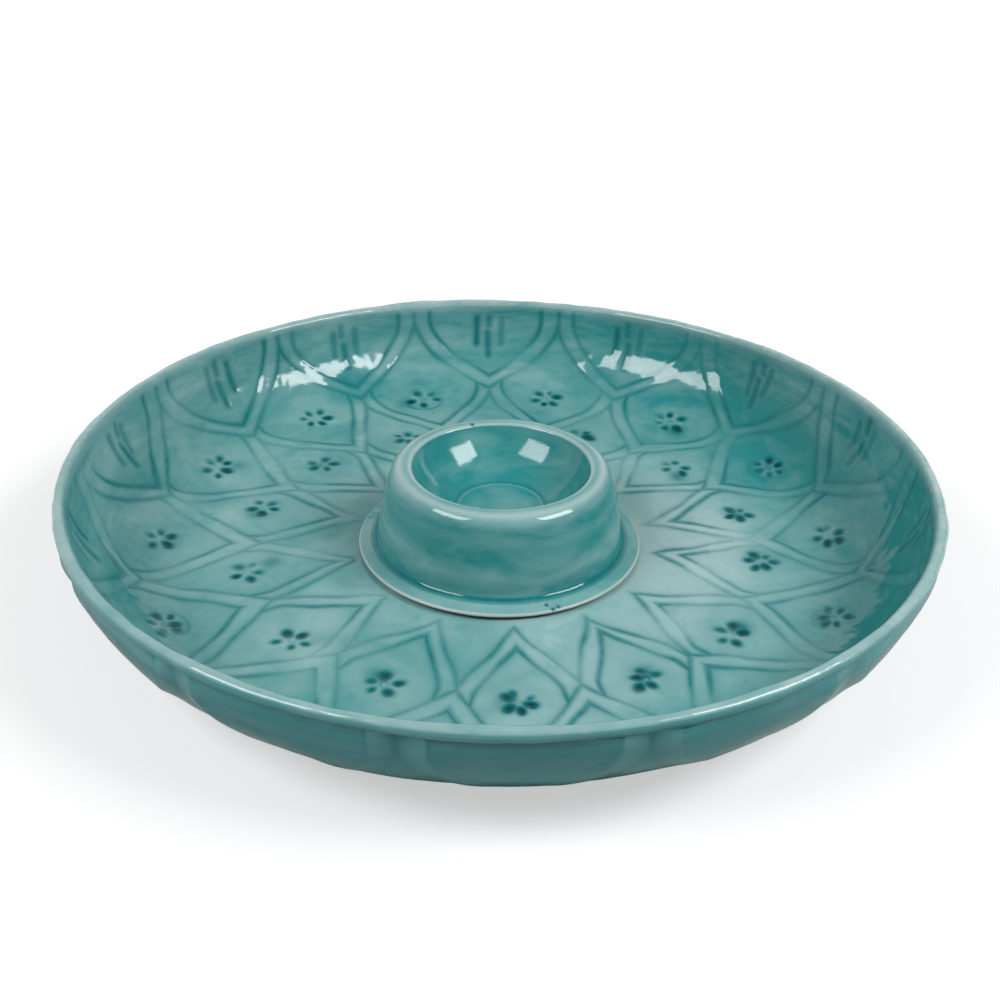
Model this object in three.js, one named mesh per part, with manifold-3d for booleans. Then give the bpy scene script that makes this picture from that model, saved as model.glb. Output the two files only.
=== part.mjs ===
// Glazed stoneware chip and dip set: a round platter carved with rows of pointed scales, and a loose dip bowl
// that stands on the middle of its floor. Millimetres, +Z up, origin on the table under the centre.

import * as THREE from "three";
import { mergeVertices } from "three/addons/utils/BufferGeometryUtils.js";
import ManifoldModule from "manifold-3d";

const { Manifold, Mesh: SolidMesh } = await loadSolids();

// Platter
const PLATTER_DIAMETER = 368;
const PLATTER_HEIGHT = 56;
const FLOOR_LEVEL = 11.5;
const FLOOR_THICKNESS = 4;
const WALL_THICKNESS = 3.8;
const COVE_REACH = 42; // from the wall's top inwards to where the floor starts to rise
const BELLY_REACH = 48; // from the wall's outer top inwards to where the underside lies flat
const RIM_BEAD_DIAMETER = 5.2;
const FOOT_RING_DIAMETER = 240;
const FOOT_RING_WIDTH = 7;

// Dip bowl, with its heights above the platter's floor
const BOWL_HEIGHT = 39.2;
const FLANGE_DIAMETER = 124.6;
const FLANGE_HEIGHT = 3;
const FLANGE_THICKNESS = 1.6;
const FLANGE_RISE = 1.7; // how far the flange's top climbs from its edge to the skirt
const SKIRT_DIAMETER = 107.5; // at the flange
const SKIRT_FILLET = 2.6;
const SKIRT_BULGE = 0.9; // how far the skirt swells beyond a straight cone
const LIP_DIAMETER = 82.8; // along the lip's crown
const LIP_ROUND = 6.8; // radius of the lip's outer side
const OPENING_DIAMETER = 76.8;
const OPENING_DROP = 1.5; // from the lip's crown down to the well's edge
const BOWL_WALL_THICKNESS = 4.4;
const WELL_LEVEL = 18.7;
const WELL_FLOOR_DIAMETER = 38.6;
const WELL_SAG = 2.25; // how far the well's side bows below a straight cone
const CONTACT_WIDTH = 5; // the flat ring that the bowl stands on

// Carving: pointed scales that overlap in rows, counted from the bowl outwards
const SCALES_PER_ROW = 14;
const FIRST_AXIS = THREE.MathUtils.degToRad(93.1);
const ORNAMENT_CLEARANCE = 5.5; // from the bowl's flange to the innermost points
const RIM_MARGIN = 7.5; // from the wall's top to where the outermost scales part
const ROW_SHARES = [0.32, 0.365, 0.315]; // of the way from the innermost points to the parting
const POINT_SHARE = 0.45; // straight share of a scale's edge, the rest curves up to its mouth
const EDGE_POWER = 3;
const LINE_WIDTH = 1.8;
const LINE_DEPTH = 0.9;
const CUTTER_LIFT = 0.8; // how far each cutter stands above the surface
const FLOWER_HEIGHTS = [45.8, 42]; // from a scale's point to the middle of its flower
const FLOWER_RING_DIAMETER = 10.6;
const PETALS = 6;
const PETAL_WIDTH = 3.8;
const PETAL_DEPTH = 1.2;
const DASH_WIDTH = 2.6;
const DASH_LENGTH = 13;
const DASH_SPACING = 6.5;
const DASH_DROP = 7; // how far the middle dash sits below its neighbours
const DOT_LENGTH = 4; // the short dash above the middle one

// Facets
const PLATTER_FACETS = 56;
const BOWL_FACETS = 56;
const WALL_STEPS = 7;
const BEAD_STEPS = 2; // in each quarter turn
const LIP_STEPS = 3; // in each quarter turn
const WELL_STEPS = 5;
const SKIRT_STEPS = 4;
const EDGE_STEPS = 2; // in each quarter turn
const PETAL_FACETS = 4;
const LINE_STEPS = 4; // on each side of a scale's point

// Derived sizes
const beadRadius = RIM_BEAD_DIAMETER / 2;
const wallTopRadius = PLATTER_DIAMETER / 2 - RIM_BEAD_DIAMETER;
const wallTopLevel = PLATTER_HEIGHT - beadRadius;
const coveRadius = wallTopRadius - COVE_REACH;
const coveRise = wallTopLevel - FLOOR_LEVEL;
const undersideLevel = FLOOR_LEVEL - FLOOR_THICKNESS;
const repeatAngle = (2 * Math.PI) / SCALES_PER_ROW;

/** Loads the solid modeller. */
async function loadSolids() {
  const loaded = await ManifoldModule();
  loaded.setup();
  return loaded;
}

/** A point of a half section. */
function at(radius, level) {
  return new THREE.Vector2(radius, level);
}

/** Points along part of an ellipse in a half section, 0 degrees pointing outwards and 90 degrees up. */
function arc(centre, reach, rise, fromDegrees, toDegrees, steps) {
  return Array.from({ length: steps + 1 }, (_, step) => {
    const angle = THREE.MathUtils.degToRad(fromDegrees + ((toDegrees - fromDegrees) * step) / steps);
    return at(centre.x + reach * Math.cos(angle), centre.y + rise * Math.sin(angle));
  });
}

/** Points along a slightly bowed line in a half section, bowed to the right of its direction. */
function bowed(start, end, bow, steps) {
  const side = at(end.y - start.y, start.x - end.x).normalize();
  return Array.from({ length: steps + 1 }, (_, step) => {
    const share = step / steps;
    return start.clone().lerp(end, share).addScaledVector(side, 4 * bow * share * (1 - share));
  });
}

/** Turns a half section about the vertical axis. */
function turned(section, facets) {
  return new THREE.LatheGeometry(section, facets).rotateX(Math.PI / 2);
}

/** A solid from a closed geometry. */
function solidFrom(geometry) {
  const plain = new THREE.BufferGeometry();
  plain.setAttribute("position", geometry.getAttribute("position"));
  plain.setIndex(geometry.getIndex());
  const merged = mergeVertices(plain, 1e-3);
  return new Manifold(
    new SolidMesh({
      numProp: 3,
      vertProperties: new Float32Array(merged.getAttribute("position").array),
      triVerts: new Uint32Array(merged.getIndex().array),
    }),
  );
}

/** A geometry from a solid. */
function geometryFrom(solid) {
  const mesh = solid.getMesh();
  const geometry = new THREE.BufferGeometry();
  geometry.setAttribute("position", new THREE.BufferAttribute(new Float32Array(mesh.vertProperties), 3));
  geometry.setIndex(new THREE.BufferAttribute(new Uint32Array(mesh.triVerts), 1));
  geometry.computeVertexNormals();
  return geometry;
}

/** A closed solid from corner points and triangles of corner numbers. */
function solidFromFaces(corners, faces) {
  return new Manifold(
    new SolidMesh({
      numProp: 3,
      vertProperties: new Float32Array(corners.flatMap((corner) => corner.toArray())),
      triVerts: new Uint32Array(faces.flat()),
    }),
  );
}

/** The half section of the platter, from the axis underneath over the rim to the axis on top. */
function platterSection() {
  const footOuter = FOOT_RING_DIAMETER / 2;
  const coveCentre = at(coveRadius, wallTopLevel);
  const bellyCentre = at(wallTopRadius + WALL_THICKNESS - BELLY_REACH, wallTopLevel);
  const beadCentre = at(wallTopRadius + beadRadius, wallTopLevel);
  const beadStart = -THREE.MathUtils.radToDeg(Math.acos(WALL_THICKNESS / beadRadius - 1));
  const bellyRise = coveRise + FLOOR_THICKNESS;
  return [
    at(0, undersideLevel),
    at(footOuter - FOOT_RING_WIDTH, undersideLevel),
    at(footOuter - FOOT_RING_WIDTH, 0),
    at(footOuter, 0),
    at(footOuter, undersideLevel),
    ...arc(bellyCentre, BELLY_REACH, bellyRise, -90, 0, WALL_STEPS).slice(0, -1),
    ...arc(beadCentre, beadRadius, beadRadius, beadStart, 0, BEAD_STEPS),
    ...arc(beadCentre, beadRadius, beadRadius, 0, 180, 2 * BEAD_STEPS).slice(1),
    ...arc(coveCentre, COVE_REACH, coveRise, 0, -90, WALL_STEPS).slice(1),
    at(0, FLOOR_LEVEL),
  ];
}

/** The half section of the dip bowl, from the axis underneath over the flange and lip into the well. */
function bowlSection() {
  const base = FLOOR_LEVEL;
  const wellFloor = at(WELL_FLOOR_DIAMETER / 2, base + WELL_LEVEL);
  const wellEdge = at(OPENING_DIAMETER / 2, base + BOWL_HEIGHT - OPENING_DROP);
  const lipCentre = at(LIP_DIAMETER / 2, base + BOWL_HEIGHT - LIP_ROUND);
  const skirtRadius = SKIRT_DIAMETER / 2;
  const flangeRound = FLANGE_THICKNESS / 2;
  const flangeEdge = at(FLANGE_DIAMETER / 2 - flangeRound, base + FLANGE_HEIGHT - flangeRound);
  const filletCentre = at(skirtRadius + SKIRT_FILLET, base + FLANGE_HEIGHT + FLANGE_RISE + SKIRT_FILLET);
  const skirtFoot = at(skirtRadius, filletCentre.y);
  const skirtRise = lipCentre.y - skirtFoot.y;
  const lean = Math.atan2(skirtRadius - lipCentre.x - LIP_ROUND, skirtRise);
  const shoulder = lean + Math.atan2(4 * SKIRT_BULGE, skirtRise);
  const lip = arc(lipCentre, LIP_ROUND, LIP_ROUND, THREE.MathUtils.radToDeg(shoulder), 90, LIP_STEPS);
  const contactInner = skirtRadius - BOWL_WALL_THICKNESS;
  const hollowTop = lipCentre.y - BOWL_WALL_THICKNESS;
  const hollowSide = contactInner - (hollowTop - filletCentre.y) * Math.tan(lean);
  const wellSlope = Math.atan2(wellEdge.y - wellFloor.y, wellEdge.x - wellFloor.x);
  const underStart = at(
    wellFloor.x + BOWL_WALL_THICKNESS * Math.tan(wellSlope / 2),
    wellFloor.y - BOWL_WALL_THICKNESS,
  );
  const underEnd = at(underStart.x + (hollowTop - underStart.y) / Math.tan(wellSlope), hollowTop);
  const underShare = (underEnd.x - underStart.x) / (wellEdge.x - wellFloor.x);
  return [
    at(0, underStart.y),
    ...bowed(underStart, underEnd, WELL_SAG * underShare ** 2, WELL_STEPS),
    at(hollowSide, hollowTop),
    at(contactInner, filletCentre.y),
    at(contactInner, base),
    at(contactInner + CONTACT_WIDTH, base),
    at(contactInner + CONTACT_WIDTH, base + FLANGE_HEIGHT - FLANGE_THICKNESS),
    ...arc(flangeEdge, flangeRound, flangeRound, -90, 90, 2 * EDGE_STEPS),
    ...arc(filletCentre, SKIRT_FILLET, SKIRT_FILLET, 270, 180, EDGE_STEPS),
    ...bowed(skirtFoot, lip[0], SKIRT_BULGE, SKIRT_STEPS).slice(1, -1),
    ...lip,
    ...arc(at(lipCentre.x, wellEdge.y), lipCentre.x - wellEdge.x, OPENING_DROP, 90, 180, LIP_STEPS).slice(1),
    ...bowed(wellEdge, wellFloor, -WELL_SAG, WELL_STEPS).slice(1),
    at(0, wellFloor.y),
  ];
}

/** The platter's upper surface from the axis to the top of the wall, measured along its length. */
class UpperSurface {
  constructor() {
    this.path = new THREE.CurvePath();
    this.path.add(new THREE.LineCurve(at(0, FLOOR_LEVEL), at(coveRadius, FLOOR_LEVEL)));
    this.path.add(new THREE.EllipseCurve(coveRadius, wallTopLevel, COVE_REACH, coveRise, -Math.PI / 2, 0));
    this.length = this.path.getLength();
  }

  /** The place at a distance from the axis and an angle, with the directions there. */
  station(distance, angle) {
    const place = this.path.getPoint(distance / this.length);
    const along = this.path.getTangent(distance / this.length);
    const spin = (out, level) => new THREE.Vector3(out * Math.cos(angle), out * Math.sin(angle), level);
    return {
      point: spin(place.x, place.y),
      up: spin(-along.y, along.x),
      outwards: spin(along.x, along.y),
      sideways: new THREE.Vector3(-Math.sin(angle), Math.cos(angle), 0),
      radius: place.x,
    };
  }
}

/** A groove of V section along a row of stations. */
function groove(stations, width, depth) {
  const halfTop = (width / 2) * (1 + CUTTER_LIFT / depth);
  const headings = stations.slice(1).map((next, i) => next.point.clone().sub(stations[i].point).normalize());
  const sides = headings.map((heading, i) => stations[i].up.clone().cross(heading).normalize());
  const corners = stations.flatMap((station, i) => {
    const before = sides[Math.max(i - 1, 0)];
    const after = sides[Math.min(i, sides.length - 1)];
    const mitre = before.clone().add(after).normalize();
    const reach = mitre.clone().multiplyScalar(halfTop / mitre.dot(after));
    const top = station.point.clone().addScaledVector(station.up, CUTTER_LIFT);
    const deepest = station.point.clone().addScaledVector(station.up, -depth);
    return [top.clone().add(reach), deepest, top.clone().sub(reach)];
  });
  const faces = [[0, 1, 2]];
  for (let i = 0; i + 1 < stations.length; i += 1) {
    for (let side = 0; side < 3; side += 1) {
      const a = 3 * i + side;
      const b = 3 * i + ((side + 1) % 3);
      faces.push([a, a + 3, b + 3], [a, b + 3, b]);
    }
  }
  const last = corners.length - 3;
  faces.push([last + 2, last + 1, last]);
  return solidFromFaces(corners, faces);
}

/** A pointed dimple pressed in at a station. */
function dimple(station, width, depth) {
  const radius = (width / 2) * (1 + CUTTER_LIFT / depth);
  const ring = Array.from({ length: PETAL_FACETS }, (_, i) => {
    const turn = (2 * Math.PI * i) / PETAL_FACETS;
    return station.point
      .clone()
      .addScaledVector(station.up, CUTTER_LIFT)
      .addScaledVector(station.outwards, radius * Math.cos(turn))
      .addScaledVector(station.sideways, radius * Math.sin(turn));
  });
  const deepest = station.point.clone().addScaledVector(station.up, -depth);
  const faces = ring.map((_, i) => [i, PETAL_FACETS, (i + 1) % PETAL_FACETS]);
  for (let i = 1; i + 1 < PETAL_FACETS; i += 1) {
    faces.push([0, i, i + 1]);
  }
  return solidFromFaces([...ring, deepest], faces);
}

/** The carved ornament of the platter's upper surface. */
class Ornament {
  constructor(surface) {
    this.surface = surface;
    this.start = FLANGE_DIAMETER / 2 + ORNAMENT_CLEARANCE;
    this.end = surface.length - RIM_MARGIN;
    this.points = [this.start];
    for (const share of ROW_SHARES) {
      this.points.push(this.points.at(-1) + share * (this.end - this.start));
    }
  }

  /** The angle of a scale's middle line. */
  axis(row, index) {
    return FIRST_AXIS + (index + (row % 2) / 2) * repeatAngle;
  }

  /** The double-curved line round a scale, from one side of its mouth over the point to the other side. */
  outline(row, index) {
    const stations = [];
    for (let step = -LINE_STEPS; step <= LINE_STEPS; step += 1) {
      const across = Math.sin((Math.PI / 2) * (step / LINE_STEPS));
      const width = Math.abs(across);
      const rise = POINT_SHARE * width + (1 - POINT_SHARE) * width ** EDGE_POWER;
      const distance = THREE.MathUtils.lerp(this.points[row], this.points[row + 1], rise);
      stations.push(this.surface.station(distance, this.axis(row, index) + (across * repeatAngle) / 2));
    }
    return groove(stations, LINE_WIDTH, LINE_DEPTH);
  }

  /** The petals of the flower in a scale. */
  flower(row, index) {
    const middle = this.points[row] + FLOWER_HEIGHTS[row];
    const radius = this.surface.station(middle, 0).radius;
    return Array.from({ length: PETALS }, (_, petal) => {
      const turn = (2 * Math.PI * petal) / PETALS;
      const outwards = (FLOWER_RING_DIAMETER / 2) * Math.cos(turn);
      const sideways = (FLOWER_RING_DIAMETER / 2) * Math.sin(turn);
      const station = this.surface.station(middle + outwards, this.axis(row, index) + sideways / radius);
      return dimple(station, PETAL_WIDTH, PETAL_DEPTH);
    });
  }

  /** The upright dashes in an outermost scale. */
  dashes(index) {
    const row = ROW_SHARES.length - 1;
    const lowered = this.end - DASH_DROP;
    const strokes = [
      [-DASH_SPACING, this.end, DASH_LENGTH],
      [DASH_SPACING, this.end, DASH_LENGTH],
      [0, lowered, DASH_LENGTH],
      [0, this.end, DOT_LENGTH],
    ];
    return strokes.map(([sideways, head, length]) => {
      const angle = this.axis(row, index) + sideways / wallTopRadius;
      const stations = [head - length, head].map((distance) => this.surface.station(distance, angle));
      return groove(stations, DASH_WIDTH, LINE_DEPTH);
    });
  }

  /** Every cutter of the ornament as one solid. */
  cutters() {
    const pieces = [];
    for (let index = 0; index < SCALES_PER_ROW; index += 1) {
      ROW_SHARES.forEach((_, row) => pieces.push(this.outline(row, index)));
      FLOWER_HEIGHTS.forEach((_, row) => pieces.push(...this.flower(row, index)));
      pieces.push(...this.dashes(index));
    }
    return Manifold.union(pieces);
  }
}

/** A named mesh with its own glaze. */
function piece(name, geometry, colour, roughness) {
  const glaze = new THREE.MeshStandardMaterial({ color: colour, roughness, metalness: 0 });
  const mesh = new THREE.Mesh(geometry, glaze);
  mesh.name = name;
  return mesh;
}

const blank = solidFrom(turned(platterSection(), PLATTER_FACETS));
const carved = blank.subtract(new Ornament(new UpperSurface()).cutters());

const chipAndDip = new THREE.Group();
chipAndDip.name = "chip_and_dip_platter";
chipAndDip.add(piece("platter", geometryFrom(carved), 0x6fa9a8, 0.18));
chipAndDip.add(piece("dip_bowl", turned(bowlSection(), BOWL_FACETS), 0x84b3b2, 0.18));

export default chipAndDip;
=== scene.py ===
"""Looks of the chip and dip platter: the carved platter and its loose dip bowl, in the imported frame."""

import logging
import math
from dataclasses import dataclass, field
from enum import Enum
from typing import Any

import bpy
import numpy as np
from bpy.types import Material, Mesh, NodeSocket, NodeTree, Object, World
from mathutils import Matrix, Quaternion, Vector


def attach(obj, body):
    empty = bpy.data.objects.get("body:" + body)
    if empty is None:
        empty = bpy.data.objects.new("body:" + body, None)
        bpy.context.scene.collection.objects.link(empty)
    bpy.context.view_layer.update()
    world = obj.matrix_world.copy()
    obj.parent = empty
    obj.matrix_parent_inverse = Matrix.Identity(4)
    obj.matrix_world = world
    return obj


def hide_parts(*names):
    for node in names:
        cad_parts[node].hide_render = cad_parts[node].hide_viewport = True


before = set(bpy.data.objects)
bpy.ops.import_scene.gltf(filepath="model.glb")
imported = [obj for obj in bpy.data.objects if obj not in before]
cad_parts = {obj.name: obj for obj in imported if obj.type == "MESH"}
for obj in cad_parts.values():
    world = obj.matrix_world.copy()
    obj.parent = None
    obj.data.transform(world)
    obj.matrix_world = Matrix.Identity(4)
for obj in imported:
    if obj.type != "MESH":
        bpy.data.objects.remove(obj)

LOG = logging.getLogger("chip_and_dip")
MM = 0.001
SEED = 14
WHITE = "#FFFFFF"
Points = np.ndarray
Pair = tuple[float, float]

# The flat layout's two discs, each with its middle and its half width.
UPPER_DISC = (0.36, 0.352)
LOWER_DISC = (0.78, 0.212)


class Body(Enum):
    """The bodies of the frame that pieces ride on."""

    PLATTER = "platter"
    DIP_BOWL = "dip_bowl"


class Slot(Enum):
    """The record's material slots."""

    PLATTER = "platter_glaze"
    DIP_BOWL = "bowl_glaze"


class Coat(Enum):
    """Values kept on a mesh's points for its finish: glaze pooling, clouding and thinning, together with
    painted shade and painted reflection.
    """

    POOL_AND_SHADE = "glaze_pool"
    THIN = "glaze_thin"
    MILK_AND_SHEEN = "glaze_milk"
    DULL = "glaze_dull"


class Zone(Enum):
    """Stretches of a turned form's half section."""

    UPPER = 0
    RIM = 1
    OUTER = 2
    UNDER = 3
    BARE = 4


def linear(colour: str) -> tuple[float, float, float, float]:
    """Turn an sRGB hex colour into linear light.

    Args:
        colour: Six hex digits after a hash sign.

    Returns:
        Red, green, blue and full alpha.
    """
    parts = [int(colour[i : i + 2], 16) / 255 for i in (1, 3, 5)]
    lit = [p / 12.92 if p <= 0.04045 else ((p + 0.055) / 1.055) ** 2.4 for p in parts]
    return (lit[0], lit[1], lit[2], 1.0)


def add_node(tree: NodeTree, kind: str, inputs: dict[str | int, Any] | None = None, **settings: Any) -> Any:
    """Add a node, with its inputs and its settings.

    Args:
        tree: The tree that gets the node.
        kind: The node's type name.
        inputs: Socket names or numbers, each with a value or with an output socket to link from.
        settings: Properties of the node.

    Returns:
        The new node's outputs.
    """
    node = tree.nodes.new(kind)
    for name, value in settings.items():
        setattr(node, name, value)
    for name, value in (inputs or {}).items():
        if isinstance(value, NodeSocket):
            tree.links.new(value, node.inputs[name])
        else:
            node.inputs[name].default_value = value
    return node.outputs


def emptied_tree(owner: Material | World) -> NodeTree:
    """Switch a new material or world to nodes.

    Args:
        owner: The material or world.

    Returns:
        Its node tree, without nodes.
    """
    owner.use_nodes = True
    owner.node_tree.nodes.clear()
    return owner.node_tree


def told_apart(tree: NodeTree) -> tuple[Any, Any]:
    """Tell the camera's own rays from mirrored ones.

    Args:
        tree: The nodes of a material or of the world.

    Returns:
        A socket that is 1 to the camera, and one that is 1 to mirrored and refracted rays.
    """
    rays = add_node(tree, "ShaderNodeLightPath")
    either = {0: rays["Is Glossy Ray"], 1: rays["Is Transmission Ray"]}
    return rays["Is Camera Ray"], add_node(tree, "ShaderNodeMath", either, operation="MAXIMUM")[0]


def smooth_step(low: float, high: float, values: Points) -> Points:
    """Rise smoothly from 0 at low to 1 at high."""
    share = np.clip((values - low) / (high - low), 0.0, 1.0)
    return share * share * (3.0 - 2.0 * share)


def hump(values: Points, middle: float, width: float) -> Points:
    """Rise softly to 1 about a middle, with a width to either side."""
    return np.exp(-(((values - middle) / width) ** 2))


def turned_from(start: Points, angle: Points) -> Points:
    """The angle from a start, within half a turn to either side."""
    return np.angle(np.exp(1j * (angle - start)))


def arc(centre: Pair, reach: float, rise: float, start: float, end: float, steps: int) -> Points:
    """Points on an ellipse, reach wide and rise high to each side, at degrees where 0 is out and 90 up."""
    turn = np.radians(np.linspace(start, end, steps + 1))
    return np.stack([centre[0] + reach * np.cos(turn), centre[1] + rise * np.sin(turn)], axis=-1)


def bowed(start: Pair, end: Pair, bow: float, steps: int = 60) -> Points:
    """Points along a slightly bowed line in a half section.

    Args:
        start: Radius and level of its start.
        end: Radius and level of its end.
        bow: How far it bows to the right of its direction.
        steps: Number of steps along it.

    Returns:
        One row of radius and level per point.
    """
    share = np.linspace(0.0, 1.0, steps + 1)[:, None]
    run = np.subtract(end, start)
    side = np.array([run[1], -run[0]]) / np.hypot(*run)
    return np.array(start) + run * share + side * (4.0 * bow) * share * (1.0 - share)


def distances(path: Points) -> Points:
    """How far each point of a path lies from its start, along the path."""
    return np.concatenate([[0.0], np.cumsum(np.hypot(*np.diff(path, axis=0).T))])


def resampled(path: Points, places: Points) -> Points:
    """Points of a closely spaced path at distances along it."""
    along = distances(path)
    return np.stack([np.interp(places, along, path[:, i]) for i in (0, 1)], axis=-1)


def length_of(path: Points) -> float:
    """The length of a path."""
    return float(np.hypot(*np.diff(path, axis=0).T).sum())


def evenly(path: Points, step: float) -> Points:
    """A path's points about one step apart, both ends kept."""
    whole = length_of(path)
    return resampled(path, np.linspace(0.0, whole, max(2, round(whole / step) + 1)))


def joined(stretches: list[tuple[Points, Zone]]) -> tuple[Points, list[Zone]]:
    """Join stretches of a half section to one path, with each point's zone."""
    zones = [zone for path, zone in stretches for _ in path]
    return np.concatenate([path for path, _ in stretches]), zones


def thinned(count: int, radius: float, limits: tuple[float, ...]) -> int:
    """A ring's count of points, halved for each limit that its radius lies below."""
    return count // 2 ** sum(radius < limit for limit in limits)


@dataclass(frozen=True)
class Unevenness:
    """Soft waves that a hand-finished surface has, by wavelength and height in millimetres."""

    wavelength: float
    height: float
    seed: int
    waves: int = 20

    def at(self, points: Points) -> Points:
        """The height of the waves.

        Args:
            points: Places in millimetres, one row each.

        Returns:
            One height per place, mostly within the given height.
        """
        rng = np.random.default_rng(SEED + self.seed)
        headings = rng.normal(size=(self.waves, 3))
        headings /= np.linalg.norm(headings, axis=1, keepdims=True)
        lengths = self.wavelength * rng.uniform(0.7, 1.5, self.waves)
        phases = rng.uniform(0.0, math.tau, self.waves)
        total = np.zeros(len(points))
        for heading, length, phase in zip(headings, lengths, phases):
            total += np.sin(points @ heading * (math.tau / length) + phase)
        return total * self.height * math.sqrt(2.0 / self.waves) / 1.6


def uneven(points: Points, layers: tuple[Unevenness, ...]) -> Points:
    """The height of several layers of waves together."""
    return sum(layer.at(points) for layer in layers)


@dataclass
class TurnedMesh:
    """A closed turned form, built ring by ring from the axis on top over the edge to the axis underneath."""

    path: Points
    zones: list[Zone]
    columns: list[int]

    def __post_init__(self) -> None:
        """Lay the rings out as one list of points, still plain and unglazed."""
        counts = np.array(self.columns)
        self.rings = [np.arange(end - count, end) for count, end in zip(counts, np.cumsum(counts))]
        ring = np.repeat(np.arange(len(counts)), counts)
        tangent = np.gradient(self.path, axis=0)
        tangent /= np.linalg.norm(tangent, axis=1, keepdims=True)
        along = distances(self.path)
        self.ring = ring
        self.angle = np.concatenate([np.arange(count) * (math.tau / count) for count in counts])
        self.radius = self.path[ring, 0]
        self.level = self.path[ring, 1]
        self.outwards = -tangent[ring, 1]
        self.upwards = tangent[ring, 0]
        self.distance = along[ring] + self.path[0, 0]
        self.whole = float(along[-1] + self.path[0, 0] + self.path[-1, 0])
        self.zone = np.array([zone.value for zone in self.zones])[ring]
        self.height = np.zeros(len(ring))
        self.coats = np.zeros((len(Coat), len(ring)))
        self.pool, self.thin_and_sheen, self.milk, self.dull = self.coats
        self.plain = self.raised()

    def raised(self) -> Points:
        """The points, each raised by its height along the plain form's normal.

        Returns:
            One row per point, in millimetres.
        """
        reach = self.radius + self.outwards * self.height
        level = self.level + self.upwards * self.height
        return np.stack([reach * np.cos(self.angle), reach * np.sin(self.angle), level], axis=-1)

    def faces(self) -> tuple[Points, Points]:
        """The faces between neighbouring rings and to the two poles.

        Returns:
            Corner numbers, four per face with -1 after a triangle, and each face's ring number.
        """
        made: list[tuple[int, tuple[Points, ...]]] = []
        for number, (inner, outer) in enumerate(zip(self.rings[:-1], self.rings[1:])):
            if len(inner) == len(outer):
                made.append((number, (inner, outer, np.roll(outer, -1), np.roll(inner, -1))))
                continue
            widens = len(inner) < len(outer)
            fine, coarse = (outer, inner) if widens else (inner, outer)
            even, odd, after = fine[0::2], fine[1::2], np.roll(coarse, -1)
            for a, b, c in ((coarse, even, odd), (coarse, odd, after), (after, odd, np.roll(even, -1))):
                made.append((number, (a, b, c) if widens else (b, a, c)))
        first, last, pole = self.rings[0], self.rings[-1], len(self.angle)
        made.append((0, (np.full_like(first, pole), first, np.roll(first, -1))))
        made.append((len(self.rings) - 1, (last, np.full_like(last, pole + 1), np.roll(last, -1))))
        corners = [np.stack([*face, np.full_like(face[0], -1)][:4], axis=-1) for _, face in made]
        owners = [np.full(len(face[0]), number) for number, face in made]
        return np.concatenate(corners), np.concatenate(owners)

    def build(self, name: str, glaze: Material, clay: Material) -> Object:
        """Make the mesh object.

        Args:
            name: The object's name.
            glaze: The finish of the glazed zones.
            clay: The finish of the bare zone.

        Returns:
            The object, linked to the scene.
        """
        poles = [[0.0, 0.0, self.path[0, 1]], [0.0, 0.0, self.path[-1, 1]]]
        places = np.concatenate([self.raised(), poles]) * MM
        corners, owner = self.faces()
        real = corners >= 0
        counts = real.sum(axis=1)
        loops = corners[real]
        starts = np.concatenate([[0], np.cumsum(counts)[:-1]])
        bare = np.array([zone is Zone.BARE for zone in self.zones])[owner]
        mesh = bpy.data.meshes.new(name)
        for held, key, values, size in (
            (mesh.vertices, "co", places.astype(np.float32).ravel(), len(places)),
            (mesh.loops, "vertex_index", loops.astype(np.int32), len(loops)),
            (mesh.polygons, "loop_start", starts.astype(np.int32), len(starts)),
        ):
            held.add(size)
            held.foreach_set(key, values)
        mesh.update(calc_edges=True)
        mesh.polygons.foreach_set("use_smooth", np.ones(len(counts), bool))
        mesh.polygons.foreach_set("material_index", bare.astype(np.int32))
        for finish in (glaze, clay):
            mesh.materials.append(finish)
        for coat, values in zip(Coat, self.coats):
            held = mesh.attributes.new(coat.value, "FLOAT", "POINT")
            held.data.foreach_set("value", np.concatenate([values, values[[0, -1]]]).astype(np.float32))
        self.lay_out(mesh, loops, np.repeat(owner, counts))
        mesh.update()
        made = bpy.data.objects.new(name, mesh)
        bpy.context.scene.collection.objects.link(made)
        return made

    def lay_out(self, mesh: Mesh, loops: Points, owner: Points) -> None:
        """Lay the surface out flat as two discs, what shows from above and what shows from below.

        Args:
            mesh: The mesh that gets the layout.
            loops: The point number of each face corner.
            owner: The ring number of each face corner's face.
        """
        upper = np.array([zone in (Zone.UPPER, Zone.RIM) for zone in self.zones])
        seam = float(self.distance[self.ring == int(np.argmin(upper))][0])
        distance = np.concatenate([self.distance, [0.0, self.whole]])[loops]
        angle = np.concatenate([self.angle, [0.0, 0.0]])[loops]
        above = upper[owner]
        share = np.where(above, distance / seam, (self.whole - distance) / (self.whole - seam))
        middle, size = np.where(above[:, None], UPPER_DISC, LOWER_DISC).T
        places = np.stack([middle + size * share * turn(angle) for turn in (np.cos, np.sin)], axis=-1)
        mesh.uv_layers.new(name="OFBake").data.foreach_set("uv", places.astype(np.float32).ravel())


@dataclass(frozen=True)
class Flower:
    """A row's flowers: their place, squeeze and size, and how many have six petals."""

    distance: float
    squeeze: float
    size: float
    six_share: float
    first_petal: float
    crescent: float


@dataclass(frozen=True)
class ScaleRow:
    """One row of pointed scales, measured along the platter's upper surface from its axis."""

    point: float
    inner_gap: float
    band: float
    power: float
    shifted: bool
    flower: Flower | None


@dataclass(frozen=True)
class Spots:
    """Places on a turned surface: angles about the axis, distances along the surface and from the axis."""

    angle: Points
    distance: Points
    radius: Points


@dataclass
class Marks:
    """What carving does at each spot: its height, how deep glaze pools, with painted shade under overlapping
    edges, and how thin it breaks.
    """

    height: Points
    pool: Points
    thin_and_sheen: Points


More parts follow.
